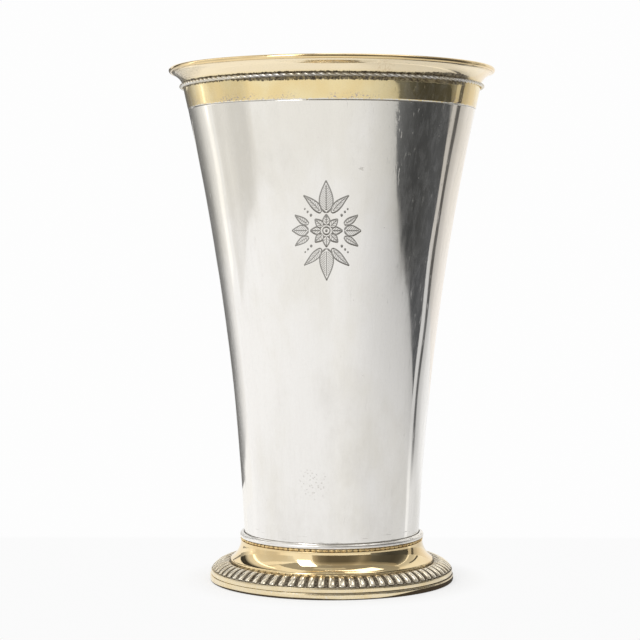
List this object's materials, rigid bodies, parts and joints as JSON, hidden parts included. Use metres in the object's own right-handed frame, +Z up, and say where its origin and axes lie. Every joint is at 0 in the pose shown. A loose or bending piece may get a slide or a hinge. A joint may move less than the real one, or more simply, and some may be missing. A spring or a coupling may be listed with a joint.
{
  "type": "silver beaker",
  "caption": "Trumpet-shaped silver drinking beaker with a flared gilt mouth, a twisted wire under the lip and a hollow gilt foot with a gadrooned border.",
  "frame": {"origin": "on the axis of the beaker, in the plane that the foot stands on", "axes": "+Z up along the axis of the beaker, -Y towards the pictured front, +X to the viewer's right"},
  "size_m": [0.0952, 0.0954, 0.15],
  "materials": {
    "silver": "polished silver with fine scratches",
    "gilt": "polished pale gilding, a little worn at the edges",
    "rubbed_gilt": "gilding rubbed to silver on the lobes, dark in the grooves"
  },
  "bodies": {
    "root": {"cup_body": "silver", "cup_floor": "gilt", "lip_wire": "gilt", "rope_wire": "silver", "foot_collar": "silver", "milled_wire": "gilt", "foot_spool": "gilt", "gadroon_border": "rubbed_gilt", "bead_wire": "gilt", "base_rim": "gilt"}
  },
  "joints": []
}
